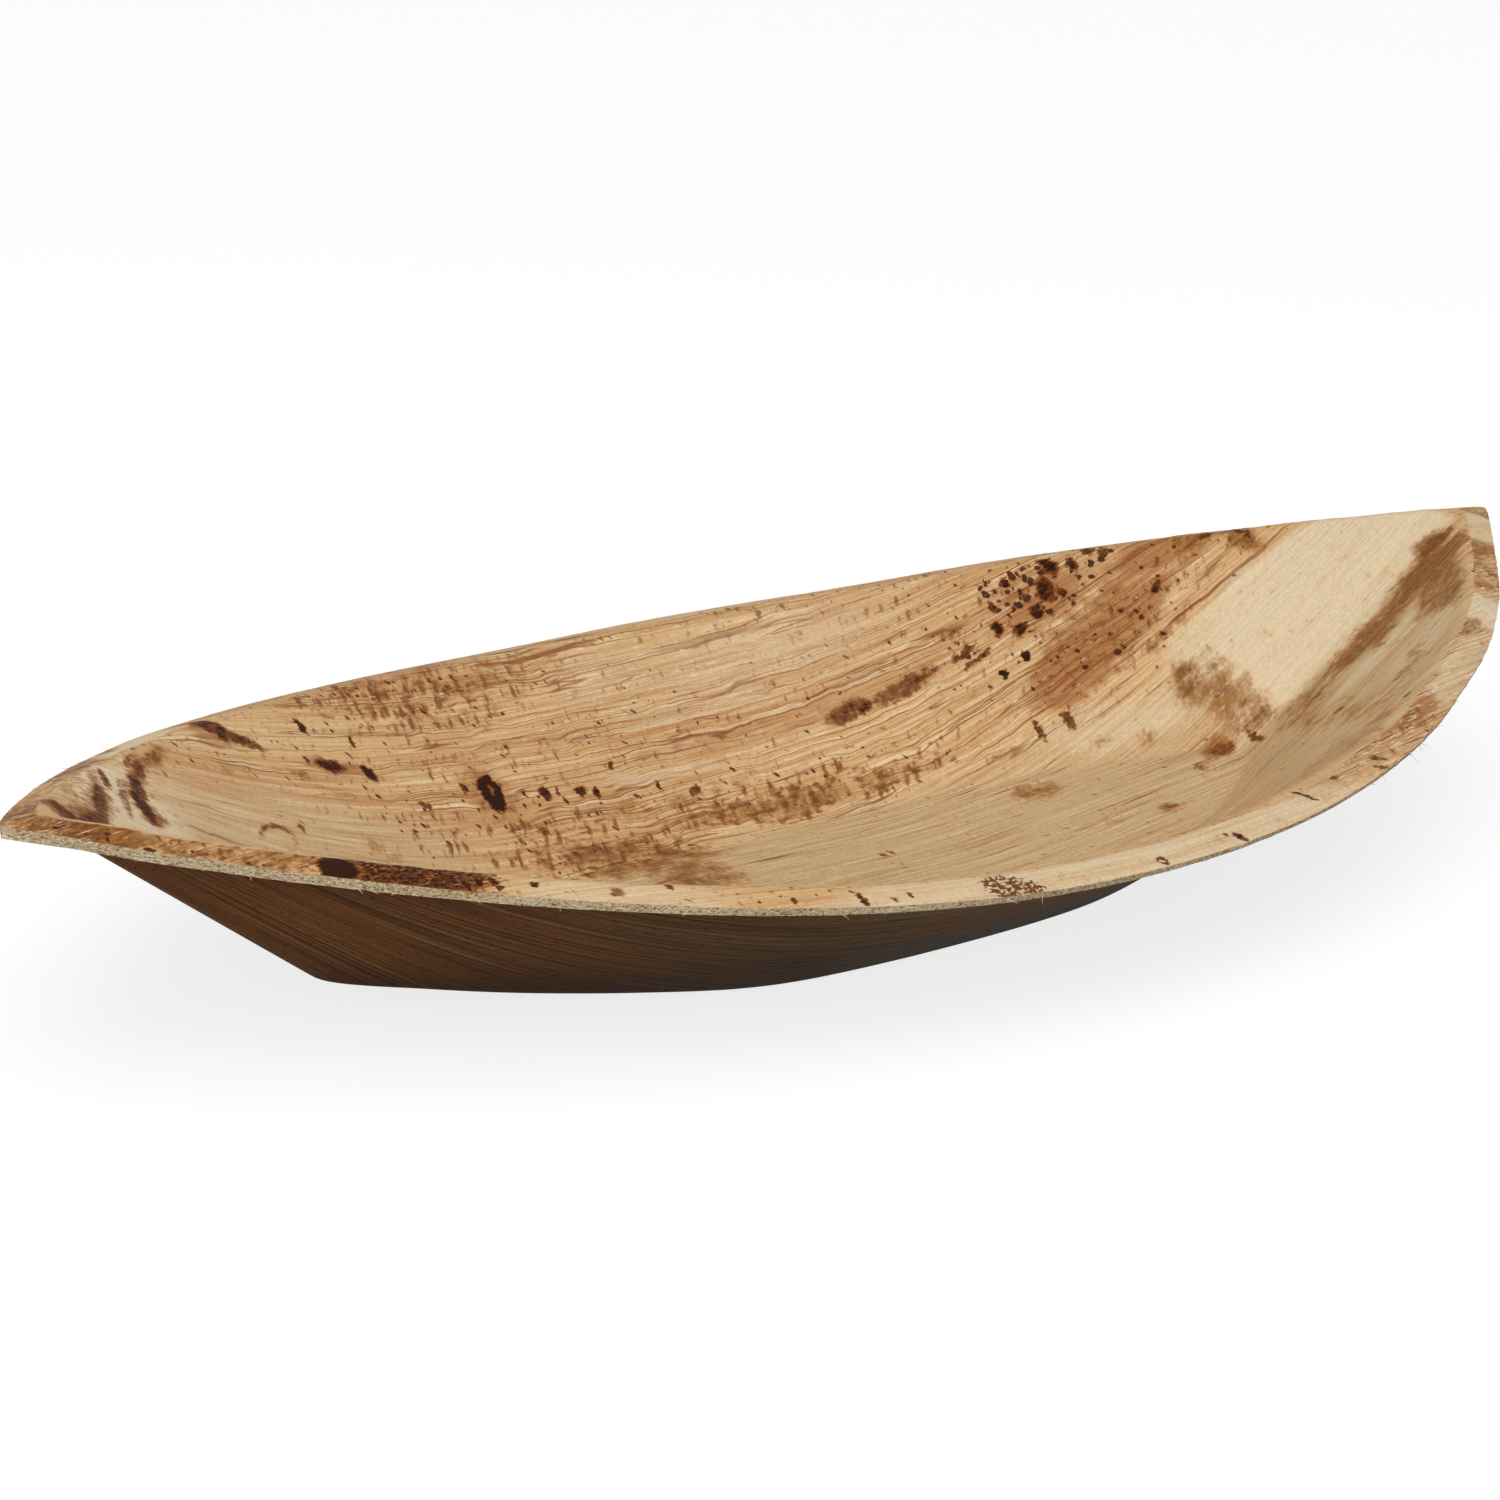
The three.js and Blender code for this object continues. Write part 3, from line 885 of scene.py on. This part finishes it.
STRANDS = 420
STRAND_RADIUS = 0.045
SHORTEST, LONGEST = 0.3, 1.8
ROOT_DEPTH = 0.12
strand_place = random.Random(11)
cut_faces = [face for face in plate.data.polygons if face.material_index == CUT_EDGE]
strands = bmesh.new()
for face in strand_place.choices(cut_faces, weights=[face.area for face in cut_faces], k=STRANDS):
    root = face.center / METRE_PER_MM
    tangent = Vector((-face.normal.y, face.normal.x, 0.0)).normalized()
    sideways = tangent * strand_place.uniform(-1.4, 1.4)
    lift = Vector((0, 0, strand_place.uniform(-0.35, 0.35)))
    heading = (face.normal * strand_place.uniform(0.1, 0.6) + sideways + lift).normalized()
    length = SHORTEST + (LONGEST - SHORTEST) * strand_place.random() ** 3
    bend = face.normal * length * strand_place.uniform(-0.15, 0.25)
    side = heading.orthogonal().normalized() * STRAND_RADIUS
    spin = Matrix.Rotation(math.radians(120), 3, heading)
    corners = [side, spin @ side, spin @ spin @ side]
    start = root - heading * ROOT_DEPTH
    middle = root + heading * length * 0.55
    tip = strands.verts.new((root + heading * length + bend) * METRE_PER_MM)
    low = [strands.verts.new((start + corner) * METRE_PER_MM) for corner in corners]
    high = [strands.verts.new((middle + corner * 0.8) * METRE_PER_MM) for corner in corners]
    strands.faces.new(low[::-1])
    for index in range(3):
        after = (index + 1) % 3
        strands.faces.new((low[index], low[after], high[after], high[index]))
        strands.faces.new((high[index], high[after], tip))
bmesh.ops.recalc_face_normals(strands, faces=strands.faces)
strand_mesh = bpy.data.meshes.new("edge_fibres")
strands.to_mesh(strand_mesh)
strands.free()
edge_fibres = bpy.data.objects.new("edge_fibres", strand_mesh)
bpy.context.scene.collection.objects.link(edge_fibres)

strand = Finish("leaf_edge_fibre")
surface = strand.node(
    "ShaderNodeBsdfPrincipled",
    inputs={
        "Base Color": dye(238, 216, 180),
        "Roughness": 0.6,
        "Specular IOR Level": 0.3,
    },
)
strand.show(surface)
strand_mesh.materials.append(strand.material)
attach(edge_fibres, "root")


# The camera, where the photographer stood: between the thick point and the -Y side, a little above.

LOOKS_AT = Vector((-1.538, 10.0, 16.96)) * METRE_PER_MM
DISTANCE = 0.794777
AZIMUTH, ELEVATION, ROLL = -44.992, 16.036, 2.631

camera_data = bpy.data.cameras.new("camera")
camera_data.lens = 155.97
camera_data.sensor_width = 36.0
camera_data.clip_start = 0.01
camera_data.clip_end = 100.0
camera = bpy.data.objects.new("camera", camera_data)
bpy.context.scene.collection.objects.link(camera)
camera.matrix_world = (
    Matrix.Translation(LOOKS_AT)
    @ Matrix.Rotation(math.radians(AZIMUTH), 4, "Z")
    @ Matrix.Rotation(math.radians(90 - ELEVATION), 4, "X")
    @ Matrix.Rotation(math.radians(ROLL), 4, "Z")
    @ Matrix.Translation((0, 0, DISTANCE))
)
bpy.context.scene.camera = camera


# The studio: a pale floor that keeps the plate's soft shadow and fades to plain white around it,
# two soft panels, and a plain surround. The camera sees floor and surround as white. The plate is
# lit by a weaker grey one, and the light that its underside gets off the floor is dim and brown.

FLOOR_SIZE = 6.0
FLOOR_DROP = 0.00005
FADES_FROM, FADES_TO = 300.0, 1200.0
floor_mesh = bmesh.new()
bmesh.ops.create_grid(floor_mesh, x_segments=1, y_segments=1, size=FLOOR_SIZE / 2)
bmesh.ops.translate(floor_mesh, verts=floor_mesh.verts, vec=(0, 0, -FLOOR_DROP))
floor_data = bpy.data.meshes.new("studio_floor")
floor_mesh.to_mesh(floor_data)
floor_mesh.free()
floor = bpy.data.objects.new("studio_floor", floor_data)
bpy.context.scene.collection.objects.link(floor)


def seen_directly(finish):
    """One for rays from the camera and for mirrored and see-through ones."""
    path = "ShaderNodeLightPath"
    camera_ray = finish.node(path, output="Is Camera Ray")
    glossy_ray = finish.node(path, output="Is Glossy Ray")
    clear_ray = finish.node(path, output="Is Transmission Ray")
    return camera_ray.at_least(glossy_ray).at_least(clear_ray)


paper = Finish("studio_floor")
lit = paper.node("ShaderNodeBsdfDiffuse", inputs={"Color": (0.26, 0.26, 0.26, 1.0)})
glow = paper.node("ShaderNodeEmission", inputs={"Color": (1, 1, 1, 1), "Strength": 0.8})
with_shadow = paper.node("ShaderNodeAddShader", inputs={0: lit, 1: glow})
plain_white = paper.node("ShaderNodeEmission", inputs={"Color": (1, 1, 1, 1), "Strength": 1.0})
x, y, _ = paper.place_in_mm()
far_off = paper.ramp(x * x + y * y, FADES_FROM ** 2, FADES_TO ** 2)
white = paper.node("ShaderNodeMixShader", inputs={0: far_off, 1: with_shadow, 2: plain_white})
dark = paper.node("ShaderNodeBsdfDiffuse", inputs={"Color": (0.09, 0.07, 0.055, 1.0)})
mixed = paper.node("ShaderNodeMixShader", inputs={0: seen_directly(paper), 1: dark, 2: white})
paper.show(mixed)
floor_data.materials.append(paper.material)

PANELS = [
    ("overhead_panel", 1.2, 5.5, Vector((-0.15, -0.25, 1.15))),
    ("front_panel", 1.0, 10.0, Vector((-0.8, -0.72, 0.73))),
]
for name, size, power, place in PANELS:
    panel_data = bpy.data.lights.new(name, "AREA")
    panel_data.shape = "SQUARE"
    panel_data.size = size
    panel_data.energy = power
    panel = bpy.data.objects.new(name, panel_data)
    bpy.context.scene.collection.objects.link(panel)
    facing = place.to_track_quat("Z", "Y").to_matrix().to_4x4()
    panel.matrix_world = Matrix.Translation(place) @ facing


class Surround(Finish):
    """The world's nodes."""

    def __init__(self, name):
        world = bpy.data.worlds.new(name)
        world.use_nodes = True
        self.tree = world.node_tree
        self.tree.nodes.clear()
        bpy.context.scene.world = world


surround = Surround("studio_surround")
background = "ShaderNodeBackground"
grey = surround.node(background, inputs={"Color": (1, 1, 1, 1), "Strength": 0.36})
white = surround.node(background, inputs={"Color": (1, 1, 1, 1), "Strength": 1.0})
mixed = surround.node(
    "ShaderNodeMixShader", inputs={0: seen_directly(surround), 1: grey, 2: white}
)
surround.node("ShaderNodeOutputWorld", inputs={"Surface": mixed})

bpy.context.scene.view_settings.view_transform = "Standard"
